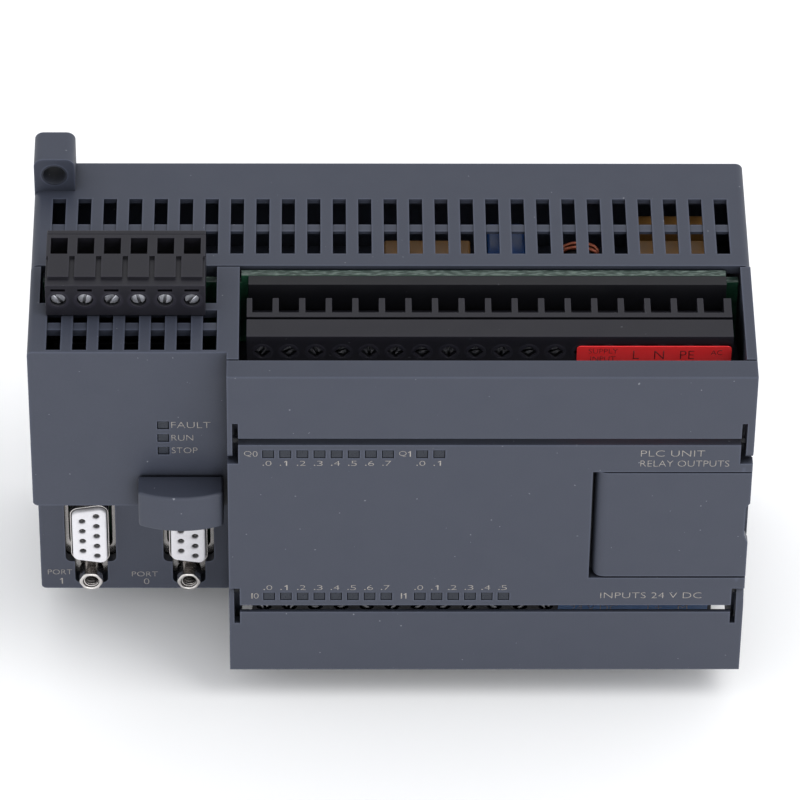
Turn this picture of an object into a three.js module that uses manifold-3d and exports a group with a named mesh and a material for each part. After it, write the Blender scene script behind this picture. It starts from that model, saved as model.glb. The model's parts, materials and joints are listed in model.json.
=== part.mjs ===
// Compact programmable controller: case, doors, boards, terminals, ports and controls.
// Millimetres. X right, Y towards the rail, Z up. The origin is the rail seat at the
// middle of the module, so the front faces -Y.
import * as THREE from "three";
import { mergeVertices } from "three/addons/utils/BufferGeometryUtils.js";
import Module from "manifold-3d";

const wasm = await Module();
wasm.setup();

// ---------------------------------------------------------------- main dimensions
const HALF_WIDTH = 70;
const HALF_HEIGHT = 40;
const BACK = 7; // rear face of the case; the rail seat is the plane Y = 0
const SEAM = -23.2; // front rim of the rear housing
const FRAME_BACK = -23.5; // rear rim of the front frame
const PORT_FACE = -32;
const BAY_FRONT = -48;
const FLANGE_BACK = -50.2; // rear edge of the door flanges
const FRONT = -55;
const WALL = 2;
const GAP = 0.3;
const OVER = 0.5; // how far a cutter runs past the face it opens

// X stations
const BAY_RIGHT = -31.7; // where the left bay ends and the wide section begins
const WELL_LEFT = -29.4;
const CORE_LEFT = -27.8;
const CORE_RIGHT = 65.7;
const WELL_RIGHT = 68;
const EAR_LEFT = -30.7; // inner face of the left door ear
const EAR_RIGHT = 68.5;
const PANEL_LEFT = -29.6;
const PANEL_RIGHT = 67.5;

// Z stations
const SHOULDER = 17.1; // half height of the full-width middle band
const FRAME_SHOULDER = 15.5; // the frame's side walls stop short of it
const PANEL_TOP = 22.07;
const PANEL_BOTTOM = -21.75;
const BAY_FLOOR = -1;

// Rail channel
const CHANNEL_HALF = 17.75;
const CHANNEL_LIP = 16.3;
const LIP_FRONT = 1.3;
const SEAT = [-15.8, 16.1]; // height of the raised strip that the rail rests on
const SEAT_STEP = 0.3;

// Boards
const BOARD = 1.6;
const POWER_FRONT = -25.3;
const LOGIC_FRONT = -44.6;

// Terminals
const PITCH = 5.14;
const WAYS = 18;
const FIRST_WAY = -24.95;
const PLUG_WAYS = 6;
const PLUG_FIRST_WAY = -64.15;

// Doors
const HINGE_Y = -51.8;
const UPPER_HINGE_Z = 20.6;
const LOWER_HINGE_Z = -20.3;
const UPPER_EAR_RADIUS = 3.2;
const LOWER_EAR_RADIUS = 2.5;
const EAR_BACK = FLANGE_BACK - 0.2;
const FLAP_BEVEL = 1.2;
const PIN_RADIUS = 0.9;

// Lamp windows
const LAMP_PITCH = 3.305;
const LAMP_FIRST = -23.8;
const LAMP_WIDTH = 2;
const LAMP_HEIGHT = 1.8;
const OUTPUT_LAMP_Z = 19.64;
const INPUT_LAMP_Z = -19.28;
const OUTPUT_LAMPS = [0, 1, 2, 3, 4, 5, 6, 7, 9, 10];
const INPUT_LAMPS = [0, 1, 2, 3, 4, 5, 6, 7, 9, 10, 11, 12, 13, 14];
const LENS_RECESS = 0.1;
const WINDOW_GAP = 0.15;
const STATUS_LAMP_X = -44.2;
const STATUS_LAMP_Z = [20.7, 17.3, 13.9];

// Nine-way sockets
const PORT_X = [-40.15, -59.85];
const PORT_Z = -22.85;
const JACK_SPACING = 12.5; // from socket centre to jack screw
const FLANGE_FRONT = -30;
const SHELL_FRONT = -34.5;

// Access cover
const COVER_LEFT = 39.5;
const COVER_FLAT_LEFT = 42.2; // where the rounded grip edge meets the flat face
const COVER_LIP_BACK = -52.6;
const COVER_CUT_LEFT = 39.1;
const COMPARTMENT_LEFT = 42.4;
const COVER_TOP = 14.57;
const COVER_BOTTOM = -13.65;
const COVER_BACK = -53.3;
const COVER_PIN_X = 68.3;
const COVER_PIN_Y = -54.1;

// Cartridge
const CARTRIDGE_X = -40.9;
const CARTRIDGE_HALF = 8.3;

// ---------------------------------------------------------------- materials
const finish = (color, roughness, metalness = 0) =>
  new THREE.MeshStandardMaterial({ color, roughness, metalness });
const SLATE = finish(0x555a64, 0.55);
const DARK_PLASTIC = finish(0x3c3a3f, 0.5);
const BLACK_PLASTIC = finish(0x1c1c1f, 0.5);
const WHITE_PLASTIC = finish(0xe6e2d6, 0.5);
const CLEAR = finish(0xb8beb4, 0.25);
const BOARD_GREEN = finish(0x1d5a3a, 0.45);
const NICKEL = finish(0xb9b7b0, 0.3, 1);
const RED = finish(0xa91b1f, 0.45);
const BLUE = finish(0x1f4f9c, 0.35);
const BROWN = finish(0x7a5532, 0.5);
const COPPER = finish(0xb0603a, 0.35, 1);
const ALUMINIUM = finish(0xa9adb2, 0.35, 1);

// ---------------------------------------------------------------- solid helpers
function solid(geometry) {
  const bare = geometry.clone();
  bare.deleteAttribute("normal");
  bare.deleteAttribute("uv");
  const merged = mergeVertices(bare, 1e-4);
  return new wasm.Manifold(new wasm.Mesh({
    numProp: 3,
    vertProperties: new Float32Array(merged.attributes.position.array),
    triVerts: new Uint32Array(merged.index.array),
  }));
}

// Box given by its [from, to] range on each axis.
function block(x, y, z) {
  const box = new THREE.BoxGeometry(x[1] - x[0], y[1] - y[0], z[1] - z[0]);
  box.translate((x[0] + x[1]) / 2, (y[0] + y[1]) / 2, (z[0] + z[1]) / 2);
  return solid(box);
}

function extrude(shape, depth, curveSegments) {
  return new THREE.ExtrudeGeometry(shape, { depth, bevelEnabled: false, curveSegments });
}

// Outline in (y, z), swept along X.
function prismX(shape, from, to, curveSegments = 5) {
  const geometry = extrude(shape, to - from, curveSegments);
  const turn = new THREE.Matrix4().set(0, 0, 1, from, 1, 0, 0, 0, 0, 1, 0, 0, 0, 0, 0, 1);
  return solid(geometry.applyMatrix4(turn));
}

// Outline in (x, z), swept along Y.
function prismY(shape, from, to, curveSegments = 5) {
  const geometry = extrude(shape, to - from, curveSegments);
  const turn = new THREE.Matrix4().set(1, 0, 0, 0, 0, 0, -1, to, 0, 1, 0, 0, 0, 0, 0, 1);
  return solid(geometry.applyMatrix4(turn));
}

// Outline in (x, y), swept along Z.
function prismZ(shape, from, to, curveSegments = 5) {
  return solid(extrude(shape, to - from, curveSegments).translate(0, 0, from));
}

function outline(points) {
  return new THREE.Shape(points.map(([u, v]) => new THREE.Vector2(u, v)));
}

function disc(u, v, radius) {
  const shape = new THREE.Shape();
  shape.absarc(u, v, radius, 0, Math.PI * 2, false);
  return shape;
}

// Regular polygon with the given distance across its flats.
function hexagon(u, v, acrossFlats) {
  const radius = acrossFlats / Math.sqrt(3);
  const corners = [0, 1, 2, 3, 4, 5].map((i) => {
    const angle = (i * Math.PI) / 3;
    return [u + radius * Math.cos(angle), v + radius * Math.sin(angle)];
  });
  return outline(corners);
}

function roundedRectangle(u, v, radius) {
  const shape = new THREE.Shape();
  shape.absarc(u[1] - radius, v[0] + radius, radius, -Math.PI / 2, 0, false);
  shape.absarc(u[1] - radius, v[1] - radius, radius, 0, Math.PI / 2, false);
  shape.absarc(u[0] + radius, v[1] - radius, radius, Math.PI / 2, Math.PI, false);
  shape.absarc(u[0] + radius, v[0] + radius, radius, Math.PI, Math.PI * 1.5, false);
  shape.closePath();
  return shape;
}

function join(parts) {
  return parts.reduce((whole, part) => whole.add(part));
}

// Swaps top and bottom: the same [from, to] range on the other side of Z = 0.
const flipped = ([from, to]) => [-to, -from];
const mirrorRange = (range, side) => (side > 0 ? range : flipped(range));

const module = new THREE.Group();
module.name = "plc_module";

function node(name, body, material) {
  const mesh = body.getMesh();
  const geometry = new THREE.BufferGeometry();
  geometry.setAttribute("position", new THREE.BufferAttribute(mesh.vertProperties, 3));
  geometry.setIndex(new THREE.BufferAttribute(mesh.triVerts, 1));
  geometry.computeVertexNormals();
  const part = new THREE.Mesh(geometry, material);
  part.name = name;
  module.add(part);
}

// ---------------------------------------------------------------- rear housing
const VENT_PITCH = 5;
const VENT_COLUMNS = 27;
const VENT_HALF = 1.3;
const VENT_FRONT_SLOT = [-19.7, -12.75];
const VENT_REAR_SLOT = [-10.75, -3.65];
const BRIDGE_RECESS = 0.4; // the bar between two slots lies this far below the face
const VENT_SKIN = 1.1; // the wall is thinned to this behind the slots

function ventCutters(side) {
  const first = -((VENT_COLUMNS - 1) / 2) * VENT_PITCH;
  const through = mirrorRange([HALF_HEIGHT - WALL - OVER, HALF_HEIGHT + OVER], side);
  const shallow = mirrorRange([HALF_HEIGHT - BRIDGE_RECESS, HALF_HEIGHT + OVER], side);
  const thinned = mirrorRange([HALF_HEIGHT - WALL - OVER, HALF_HEIGHT - VENT_SKIN], side);
  const reach = VENT_HALF - first + GAP;
  const cutters = [block([-reach, reach], [-20.6, -2.9], thinned)];
  for (let i = 0; i < VENT_COLUMNS; i += 1) {
    const x = first + i * VENT_PITCH;
    const across = [x - VENT_HALF, x + VENT_HALF];
    cutters.push(block(across, VENT_FRONT_SLOT, through));
    cutters.push(block(across, VENT_REAR_SLOT, through));
    cutters.push(block(across, [VENT_FRONT_SLOT[1] - 0.1, VENT_REAR_SLOT[0] + 0.1], shallow));
  }
  return cutters;
}

// Screw tab that stands above the top left corner or below the bottom right corner.
function screwTab(side) {
  const x = side > 0 ? [-HALF_WIDTH, -HALF_WIDTH + 8] : [HALF_WIDTH - 8, HALF_WIDTH];
  const z = mirrorRange([HALF_HEIGHT - 4, HALF_HEIGHT + 8.1], side);
  const front = -1.3;
  const hole = disc((x[0] + x[1]) / 2, side * (HALF_HEIGHT + 4.1), 2.45);
  const plate = prismY(roundedRectangle(x, z, 1.8), front, BACK);
  const cutter = prismY(hole, front - OVER, BACK + OVER, 5);
  return plate.subtract(cutter);
}

function rearHousing() {
  const inside = [-HALF_WIDTH + WALL, HALF_WIDTH - WALL];
  const wide = [-HALF_WIDTH - OVER, HALF_WIDTH + OVER];
  const tall = HALF_HEIGHT - WALL;
  const face = roundedRectangle([-HALF_WIDTH, HALF_WIDTH], [-HALF_HEIGHT, HALF_HEIGHT], 1.5);
  let shell = prismY(face, SEAM, BACK, 3);
  shell = shell.add(screwTab(1)).add(screwTab(-1));
  shell = shell.subtract(block(inside, [SEAM - OVER, -WALL], [-tall, tall]));
  for (const side of [1, -1]) {
    const pocket = mirrorRange([CHANNEL_HALF + WALL, tall], side);
    shell = shell.subtract(block(inside, [-WALL - OVER, BACK - WALL], pocket));
  }
  shell = shell.subtract(block(wide, [0, BACK + OVER], [-CHANNEL_HALF, CHANNEL_HALF]));
  for (const groove of [[-CHANNEL_HALF, SEAT[0]], [SEAT[1], CHANNEL_HALF]]) {
    shell = shell.subtract(block(wide, [-SEAT_STEP, OVER], groove));
  }
  const lip = block([-HALF_WIDTH, HALF_WIDTH], [LIP_FRONT, BACK], [CHANNEL_LIP, CHANNEL_HALF + OVER]);
  shell = shell.add(lip).add(clipGuide()).subtract(clipSlot());
  return shell.subtract(join([...ventCutters(1), ...ventCutters(-1)]));
}

// ---------------------------------------------------------------- rail clip
const CLIP_GUIDE_HALF = 8.3;
const CLIP_SLOT = { half: 6.3, neckHalf: 4.5, front: 1, neck: 5.9 };
const CLIP_ENDS = [-44.6, -16];
const CLIP_LEAD = 2.4; // slope that lets the clip snap over the rail

function clipGuide() {
  const across = [-CLIP_GUIDE_HALF, CLIP_GUIDE_HALF];
  return block(across, [-1, BACK], [-HALF_HEIGHT, -CHANNEL_HALF]);
}

function clipSlot() {
  const z = [-HALF_HEIGHT - OVER, -CHANNEL_HALF + OVER];
  const wide = block([-CLIP_SLOT.half, CLIP_SLOT.half], [CLIP_SLOT.front, CLIP_SLOT.neck], z);
  const neck = block([-CLIP_SLOT.neckHalf, CLIP_SLOT.neckHalf], [CLIP_SLOT.neck - OVER, BACK + OVER], z);
  return wide.add(neck);
}

function dinClip() {
  const half = CLIP_SLOT.half - GAP;
  const ribHalf = CLIP_SLOT.neckHalf - GAP;
  const plateBack = CLIP_SLOT.neck - GAP;
  const plate = block([-half, half], [LIP_FRONT, plateBack], CLIP_ENDS);
  const rib = block([-ribHalf, ribHalf], [plateBack - OVER, BACK], CLIP_ENDS);
  const pryHole = block([-3, 3], [LIP_FRONT - OVER, BACK + OVER], [-43, -41.4]);
  const top = CLIP_ENDS[1] + OVER;
  const lead = outline([
    [BACK + OVER, top],
    [BACK - CLIP_LEAD, top],
    [BACK + OVER, top - CLIP_LEAD - OVER],
  ]);
  return plate.add(rib).subtract(prismX(lead, -half - OVER, half + OVER)).subtract(pryHole);
}

// ---------------------------------------------------------------- front frame
const DIVIDER_LEFT = -33.8;
const PLUG_OPENING_FRONT = -34;

function leftBay() {
  const outer = roundedRectangle([-HALF_WIDTH, BAY_RIGHT], [BAY_FLOOR, HALF_HEIGHT], 1);
  const shell = prismY(outer, BAY_FRONT, FRAME_BACK, 3);
  const full = roundedRectangle([-HALF_WIDTH, BAY_RIGHT], [-HALF_HEIGHT, HALF_HEIGHT], 1);
  const rearWall = prismY(full, PORT_FACE, FRAME_BACK, 3);
  const room = [-HALF_WIDTH + WALL, DIVIDER_LEFT];
  const upper = block(room, [BAY_FRONT + WALL, FRAME_BACK + OVER], [BAY_FLOOR + WALL, HALF_HEIGHT - WALL]);
  const lower = block(room, [PORT_FACE + WALL, FRAME_BACK + OVER], [-HALF_HEIGHT + WALL, 10]);
  const plugOpening = block(room, [PLUG_OPENING_FRONT, FRAME_BACK + OVER], [30, HALF_HEIGHT + OVER]);
  return shell.add(rearWall).subtract(upper).subtract(lower).subtract(plugOpening);
}

function bayVents() {
  const cutters = [];
  for (let x = -65; x <= -35; x += VENT_PITCH) {
    const across = [x - 1.37, x + 1.37];
    const through = [HALF_HEIGHT - WALL - 0.1, HALF_HEIGHT + OVER];
    cutters.push(block(across, [-39.2, -36], through));
    cutters.push(block(across, [-47.3, -41.2], through));
    cutters.push(block(across, [-41.3, -39.1], [HALF_HEIGHT - BRIDGE_RECESS, HALF_HEIGHT + OVER]));
  }
  return join(cutters);
}

function wallsOfWells() {
  const walls = [];
  const back = FRAME_BACK;
  const earBack = FLANGE_BACK + GAP;
  const coreFront = FRONT + WALL + GAP;
  // Full-width middle band, left and right.
  const band = [-FRAME_SHOULDER, FRAME_SHOULDER];
  walls.push(block([BAY_RIGHT, CORE_LEFT], [coreFront, back], band));
  walls.push(block([CORE_RIGHT, HALF_WIDTH], [coreFront, back], band));
  // Narrower side walls beside the door ears.
  walls.push(block([PANEL_LEFT, CORE_LEFT], [coreFront, back], [PANEL_BOTTOM, PANEL_TOP]));
  walls.push(block([CORE_RIGHT, PANEL_RIGHT], [coreFront, back], [PANEL_BOTTOM, PANEL_TOP]));
  // Shelves between the core and the wiring wells.
  walls.push(block([PANEL_LEFT, PANEL_RIGHT], [coreFront, back], [PANEL_TOP - 1.2, PANEL_TOP]));
  walls.push(block([PANEL_LEFT, PANEL_RIGHT], [coreFront, back], [PANEL_BOTTOM, PANEL_BOTTOM + 1.2]));
  for (const side of [1, -1]) {
    const height = mirrorRange([FRAME_SHOULDER - 1, HALF_HEIGHT], side);
    walls.push(block([WELL_RIGHT, HALF_WIDTH], [earBack, back], height));
    walls.push(block([BAY_RIGHT, WELL_LEFT], [earBack, back], height));
    const foot = mirrorRange([FRAME_SHOULDER - 1, PANEL_TOP], side);
    walls.push(block([PANEL_RIGHT - OVER, HALF_WIDTH], [earBack, back], foot));
  }
  walls.push(block([DIVIDER_LEFT, WELL_LEFT], [BAY_FRONT, back], [0, HALF_HEIGHT]));
  return join(walls);
}

// Room for the power board behind the inner walls.
function boardClearance() {
  const inner = HALF_WIDTH - WALL;
  return block([-inner, inner], [POWER_FRONT - 0.4, FRAME_BACK + OVER], [-38, 38]);
}

function hingeHoles() {
  const holes = [UPPER_HINGE_Z, LOWER_HINGE_Z].map((z) => {
    const bore = disc(HINGE_Y, z, PIN_RADIUS + GAP);
    return prismX(bore, PANEL_LEFT - OVER, CORE_LEFT + OVER, 3).add(
      prismX(bore, CORE_RIGHT - OVER, PANEL_RIGHT + OVER, 3));
  });
  return join(holes);
}

// Round pockets that the door ears swing through.
function earPockets() {
  const hinges = [[UPPER_HINGE_Z, UPPER_EAR_RADIUS], [LOWER_HINGE_Z, LOWER_EAR_RADIUS]];
  const pockets = hinges.map(([z, radius]) => {
    const room = disc(HINGE_Y, z, radius + 0.25);
    return prismX(room, BAY_RIGHT - OVER, EAR_LEFT + GAP, 12).add(
      prismX(room, EAR_RIGHT - GAP, HALF_WIDTH + OVER, 12));
  });
  return join(pockets);
}

function statusWindows(margin) {
  const half = [LAMP_WIDTH / 2 + margin, LAMP_HEIGHT / 2 + margin];
  const x = [STATUS_LAMP_X - half[0], STATUS_LAMP_X + half[0]];
  const windows = STATUS_LAMP_Z.map((z) =>
    block(x, [BAY_FRONT - OVER, BAY_FRONT + WALL + OVER], [z - half[1], z + half[1]]));
  return join(windows);
}

function portCutouts() {
  const depth = [PORT_FACE - OVER, PORT_FACE + WALL + OVER];
  const cuts = PORT_X.map((x) => {
    const wide = roundedRectangle([x - 5.1, x + 5.1], [PORT_Z - 9.6, PORT_Z + 9.6], 1.2);
    const tall = roundedRectangle([x - 3.3, x + 3.3], [PORT_Z - 15.6, PORT_Z + 15.6], 1.2);
    return prismY(wide, depth[0], depth[1], 2).add(prismY(tall, depth[0], depth[1], 2));
  });
  return join(cuts);
}

function frontFrame() {
  const cartridgeHole = block([-47.4, -34.4], [BAY_FRONT - OVER, BAY_FRONT + WALL + OVER], [1.4, 6]);
  const coverSwing = block([66.3, HALF_WIDTH + OVER], [FRONT, -51.6], [COVER_BOTTOM - 1.5, COVER_TOP + 1.5]);
  const body = leftBay().add(wallsOfWells());
  const cutters = [boardClearance(), bayVents(), hingeHoles(), earPockets(),
    statusWindows(WINDOW_GAP), portCutouts(), cartridgeHole, coverSwing];
  return cutters.reduce((whole, cutter) => whole.subtract(cutter), body);
}

// ---------------------------------------------------------------- centre panel
function lampRow(indices, z, y, margin) {
  const half = [LAMP_WIDTH / 2 + margin, LAMP_HEIGHT / 2 + margin];
  const windows = indices.map((i) => {
    const x = LAMP_FIRST + i * LAMP_PITCH;
    return block([x - half[0], x + half[0]], y, [z - half[1], z + half[1]]);
  });
  return join(windows);
}

function centrePanel() {
  const depth = [FRONT, FRONT + WALL];
  const through = [FRONT - OVER, FRONT + WALL + OVER];
  const band = block([BAY_RIGHT, HALF_WIDTH], depth, [-SHOULDER, SHOULDER]);
  const middle = block([PANEL_LEFT, PANEL_RIGHT], depth, [PANEL_BOTTOM, PANEL_TOP]);
  const backing = block([37, COMPARTMENT_LEFT], [FRONT + OVER, FRONT + 4.5], [-15.6, 16.4]);
  const height = [COVER_BOTTOM - 1.5 * GAP, COVER_TOP + GAP];
  const right = HALF_WIDTH + OVER;
  const opening = block([COMPARTMENT_LEFT, right], [FRONT - OVER, FRONT + 5], height);
  const rebate = block([COVER_CUT_LEFT, right], [FRONT - OVER, COVER_LIP_BACK + 2 * GAP], height);
  const pins = prismZ(disc(COVER_PIN_X, COVER_PIN_Y, 0.6), COVER_BOTTOM - 1.5, COVER_TOP + 1.5, 3);
  let panel = band.add(middle).add(backing);
  panel = panel.subtract(opening).subtract(rebate).subtract(pins);
  panel = panel.subtract(lampRow(OUTPUT_LAMPS, OUTPUT_LAMP_Z, through, WINDOW_GAP));
  return panel.subtract(lampRow(INPUT_LAMPS, INPUT_LAMP_Z, through, WINDOW_GAP));
}

// ---------------------------------------------------------------- doors
// Side view of a door ear: a straight plate that ends in an arc about the hinge pin.
function earOutline(side, hingeZ, radius) {
  const edge = side * (HALF_HEIGHT - 1);
  const sweep = Math.PI - Math.acos((EAR_BACK - HINGE_Y) / radius);
  const shape = new THREE.Shape();
  shape.moveTo(FRONT, edge);
  shape.lineTo(FRONT, hingeZ + side * 2);
  shape.absarc(HINGE_Y, hingeZ, radius, Math.PI, Math.PI + side * sweep, side < 0);
  shape.lineTo(EAR_BACK, edge);
  shape.lineTo(FRONT, edge);
  shape.closePath();
  return shape;
}

// flapEdge: where the flap ends next to the panel; bandEdge: where it ends next to the ears.
// The inner rear edge is bevelled to clear the panel when the door swings.
function terminalDoor(side, hingeZ, earRadius, flapEdge, bandEdge) {
  const upTo = (z) => (side > 0 ? [z, HALF_HEIGHT] : [-HALF_HEIGHT, z]);
  const width = [BAY_RIGHT, HALF_WIDTH];
  const thickness = [FRONT, FRONT + WALL];
  const flange = mirrorRange([HALF_HEIGHT - WALL, HALF_HEIGHT], side);
  const ear = earOutline(side, hingeZ, earRadius);
  const pin = disc(HINGE_Y, hingeZ, PIN_RADIUS);
  const bevel = outline([
    [FRONT + WALL - FLAP_BEVEL - 0.1, flapEdge - side * 0.1],
    [FRONT + WALL + 0.1, flapEdge - side * 0.1],
    [FRONT + WALL + 0.1, flapEdge + side * (FLAP_BEVEL + 0.1)],
  ]);
  const flap = block([PANEL_LEFT, PANEL_RIGHT], thickness, upTo(flapEdge));
  return join([
    flap.subtract(prismX(bevel, PANEL_LEFT - OVER, PANEL_RIGHT + OVER)),
    block(width, thickness, upTo(bandEdge)),
    block(width, [FRONT, FLANGE_BACK], flange),
    prismX(ear, BAY_RIGHT, EAR_LEFT, 6),
    prismX(ear, EAR_RIGHT, HALF_WIDTH, 6),
    prismX(pin, EAR_LEFT - 0.4, CORE_LEFT - 0.2, 3),
    prismX(pin, CORE_RIGHT + 0.2, EAR_RIGHT + 0.4, 3),
  ]);
}

// Flat flap whose left edge rounds away into a grip, with a shallow thumb notch on the right.
function accessCover() {
  const section = new THREE.Shape();
  section.moveTo(HALF_WIDTH, FRONT);
  section.lineTo(HALF_WIDTH, COVER_BACK);
  section.lineTo(COVER_FLAT_LEFT, COVER_BACK);
  section.lineTo(COVER_FLAT_LEFT, COVER_LIP_BACK);
  section.absellipse(COVER_FLAT_LEFT, COVER_LIP_BACK, COVER_FLAT_LEFT - COVER_LEFT,
    COVER_LIP_BACK - FRONT, Math.PI, Math.PI * 1.5, false);
  section.closePath();
  const plate = prismZ(section, COVER_BOTTOM, COVER_TOP, 4);
  const face = roundedRectangle([COVER_LEFT, HALF_WIDTH + 5], [COVER_BOTTOM, COVER_TOP], 1.6);
  const rounded = plate.intersect(prismY(face, FRONT - OVER, COVER_LIP_BACK + OVER, 3));
  const thumb = outline([[HALF_WIDTH + OVER, 7], [69.2, 5.3], [69.2, -2.2], [HALF_WIDTH + OVER, -5.6]]);
  const notch = prismY(thumb, FRONT - OVER, COVER_BACK + OVER);
  const pins = prismZ(disc(COVER_PIN_X, COVER_PIN_Y, 0.42), COVER_BOTTOM - 1.1, COVER_TOP + 1.1, 3);
  return rounded.subtract(notch).add(pins);
}

// ---------------------------------------------------------------- cartridge
function memoryCartridge() {
  const sagitta = 1.7;
  const radius = (CARTRIDGE_HALF ** 2 + sagitta ** 2) / (2 * sagitta);
  const centreY = -54.9 + radius;
  const sweep = Math.asin(CARTRIDGE_HALF / radius);
  const cap = new THREE.Shape();
  cap.absarc(CARTRIDGE_X, centreY, radius, -Math.PI / 2 - sweep, -Math.PI / 2 + sweep, false);
  cap.lineTo(CARTRIDGE_X + CARTRIDGE_HALF, BAY_FRONT - GAP);
  cap.lineTo(CARTRIDGE_X - CARTRIDGE_HALF, BAY_FRONT - GAP);
  cap.closePath();
  const body = prismZ(cap, -1.6, 7.5, 8);
  const tongue = block([-46.9, -34.9], [BAY_FRONT - GAP - OVER, -38.4], [2, 5.4]);
  return body.add(tongue);
}

function cartridgeSocket() {
  const body = block([-48.4, -33.9 - GAP], [-44.6, -34], [BAY_FLOOR + WALL + GAP, 8]);
  const mouth = block([-47.4, -34.4 - GAP], [-45, -37], [1.7, 5.7]);
  return body.subtract(mouth);
}

// ---------------------------------------------------------------- boards
function powerBoard() {
  const edge = HALF_WIDTH - WALL - 0.3;
  const plate = [POWER_FRONT, POWER_FRONT + BOARD];
  const main = block([-edge, edge], plate, [-37.6, 37.6]);
  const tongue = block([WELL_LEFT + GAP, 65.2], plate, [-39.3, 39.3]);
  return main.add(tongue);
}

function logicBoard() {
  return block([CORE_LEFT + GAP, CORE_RIGHT - GAP], [LOGIC_FRONT, LOGIC_FRONT + BOARD], [-20, 20.3]);
}

// ---------------------------------------------------------------- terminals
const HEADER = { x: [-27.7, 65.2], y: [-28.1, -25.6], z: [24.5, 39.5] };
const BLOCK = { y: [-42.4, -28.4], z: [23.2, 39] };
const WIRE_WINDOW = { half: 1.95, y: [-35.5, -31.3], floor: 33 };
const SCREW_Z = 34.9;
const UPPER_BLOCK_X = [-28, 65.9];
const LOWER_BLOCK_X = [-27.3, 64.8];
const PIN_HALF = 0.5;

function terminalHeader(side) {
  const body = block(HEADER.x, HEADER.y, mirrorRange(HEADER.z, side));
  const pins = [];
  for (let i = 0; i < WAYS; i += 1) {
    const x = FIRST_WAY + i * PITCH;
    pins.push(block([x - PIN_HALF, x + PIN_HALF], [-33, HEADER.y[1] - 1], mirrorRange([29.5, 30.5], side)));
  }
  return join([body, ...pins]);
}

function terminalBlock(side) {
  const width = side > 0 ? UPPER_BLOCK_X : LOWER_BLOCK_X;
  const across = [width[0] - OVER, width[1] + OVER];
  const top = BLOCK.z[1] + OVER;
  const rear = BLOCK.y[1] + OVER;
  let body = block(width, BLOCK.y, mirrorRange(BLOCK.z, side));
  const rearGap = block(across, [WIRE_WINDOW.y[1] - 0.1, rear], mirrorRange([WIRE_WINDOW.floor, top], side));
  const groove = block(across, [-37.5, -36.8], mirrorRange([37.6, top], side));
  const pinRoom = block([width[0] + 1, width[1] - 1], [-34, rear], mirrorRange([28, 32], side));
  const cutters = [rearGap, groove, pinRoom];
  for (let i = 0; i < WAYS; i += 1) {
    const x = FIRST_WAY + i * PITCH;
    const window = [x - WIRE_WINDOW.half, x + WIRE_WINDOW.half];
    cutters.push(block(window, WIRE_WINDOW.y, mirrorRange([WIRE_WINDOW.floor, top], side)));
    cutters.push(prismY(disc(x, side * SCREW_Z, 1.6), BLOCK.y[0] - OVER, BLOCK.y[0] + 2, 2));
  }
  return body.subtract(join(cutters));
}

function terminalLabel(x, side) {
  const face = roundedRectangle(x, mirrorRange([24.2, 36.9], side), 0.8);
  return prismY(face, BLOCK.y[0] - GAP - 0.25, BLOCK.y[0] - GAP, 2);
}

const PLUG = { x: [-66.6, -35.9], y: [-37.8, -23.7], z: [40.3, 48.6] };

function analogHeader() {
  const body = block([-65.8, -36.4], [-33.6, -25.9], [20, 29]);
  const pins = [];
  for (let i = 0; i < PLUG_WAYS; i += 1) {
    const x = PLUG_FIRST_WAY + i * PITCH;
    pins.push(block([x - PIN_HALF, x + PIN_HALF], [-30.3, -29.3], [28, 36]));
  }
  return join([body, ...pins]);
}

function analogPlug() {
  let body = block(PLUG.x, PLUG.y, PLUG.z);
  body = body.add(block([-66.2, -36.2], [-33.6, -25.9], [30, PLUG.z[0] + OVER]));
  body = body.subtract(block([-65.4, -37], [-32.4, -27.2], [30 - OVER, 37]));
  const cutters = [block([-67, -35], [-38.2, -35.9], [48, 49])];
  for (let i = 0; i < PLUG_WAYS; i += 1) {
    const x = PLUG_FIRST_WAY + i * PITCH;
    cutters.push(block([x - 1.63, x + 1.63], [-29.3, -24.7], [43, 49]));
    cutters.push(prismY(disc(x, 44.2, 1.75), -38.5, -34.6, 3));
    cutters.push(block([x - 1.4, x + 1.4], [PLUG.y[0] - OVER, PLUG.y[0] + 1.2], [46.4, 47]));
  }
  for (let i = 0; i <= PLUG_WAYS; i += 1) {
    const x = PLUG_FIRST_WAY + (i - 0.5) * PITCH;
    cutters.push(block([x - 0.52, x + 0.52], [-36, -29.9], [48, 49]));
  }
  return body.subtract(join(cutters));
}

function analogPlugScrew(i) {
  const x = PLUG_FIRST_WAY + i * PITCH;
  const barrel = prismY(disc(x, 44.2, 1.45), -37.2, -34.9, 4);
  return barrel.subtract(block([x - 2, x + 2], [-37.7, -36.5], [44, 44.4]));
}

// ---------------------------------------------------------------- nine-way sockets
// Upright D outline, wide side to the right.
function dOutline(x, z, halfWidth, halfHeight) {
  const slope = halfWidth * 2 * Math.tan((10 * Math.PI) / 180);
  return outline([
    [x - halfWidth, z - halfHeight + slope],
    [x + halfWidth, z - halfHeight],
    [x + halfWidth, z + halfHeight],
    [x - halfWidth, z + halfHeight - slope],
  ]);
}

function portShell(x) {
  const flangeY = [FLANGE_FRONT + GAP, FLANGE_FRONT + 1.3];
  const flange = block([x - 6.2, x + 6.2], flangeY, [PORT_Z - 14.8, PORT_Z + 14.8]);
  const tube = prismY(dOutline(x, PORT_Z, 4.1, 8.45), SHELL_FRONT, FLANGE_FRONT + 1.3);
  const bore = prismY(dOutline(x, PORT_Z, 3.65, 7.95), SHELL_FRONT - OVER, FLANGE_FRONT + 2);
  const holes = [-1, 1].map((side) =>
    prismY(disc(x, PORT_Z + side * JACK_SPACING, 1.3), FLANGE_FRONT, FLANGE_FRONT + 2, 2));
  return flange.add(tube).subtract(bore).subtract(join(holes));
}

const PIN_STEP = 2.77;

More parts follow.
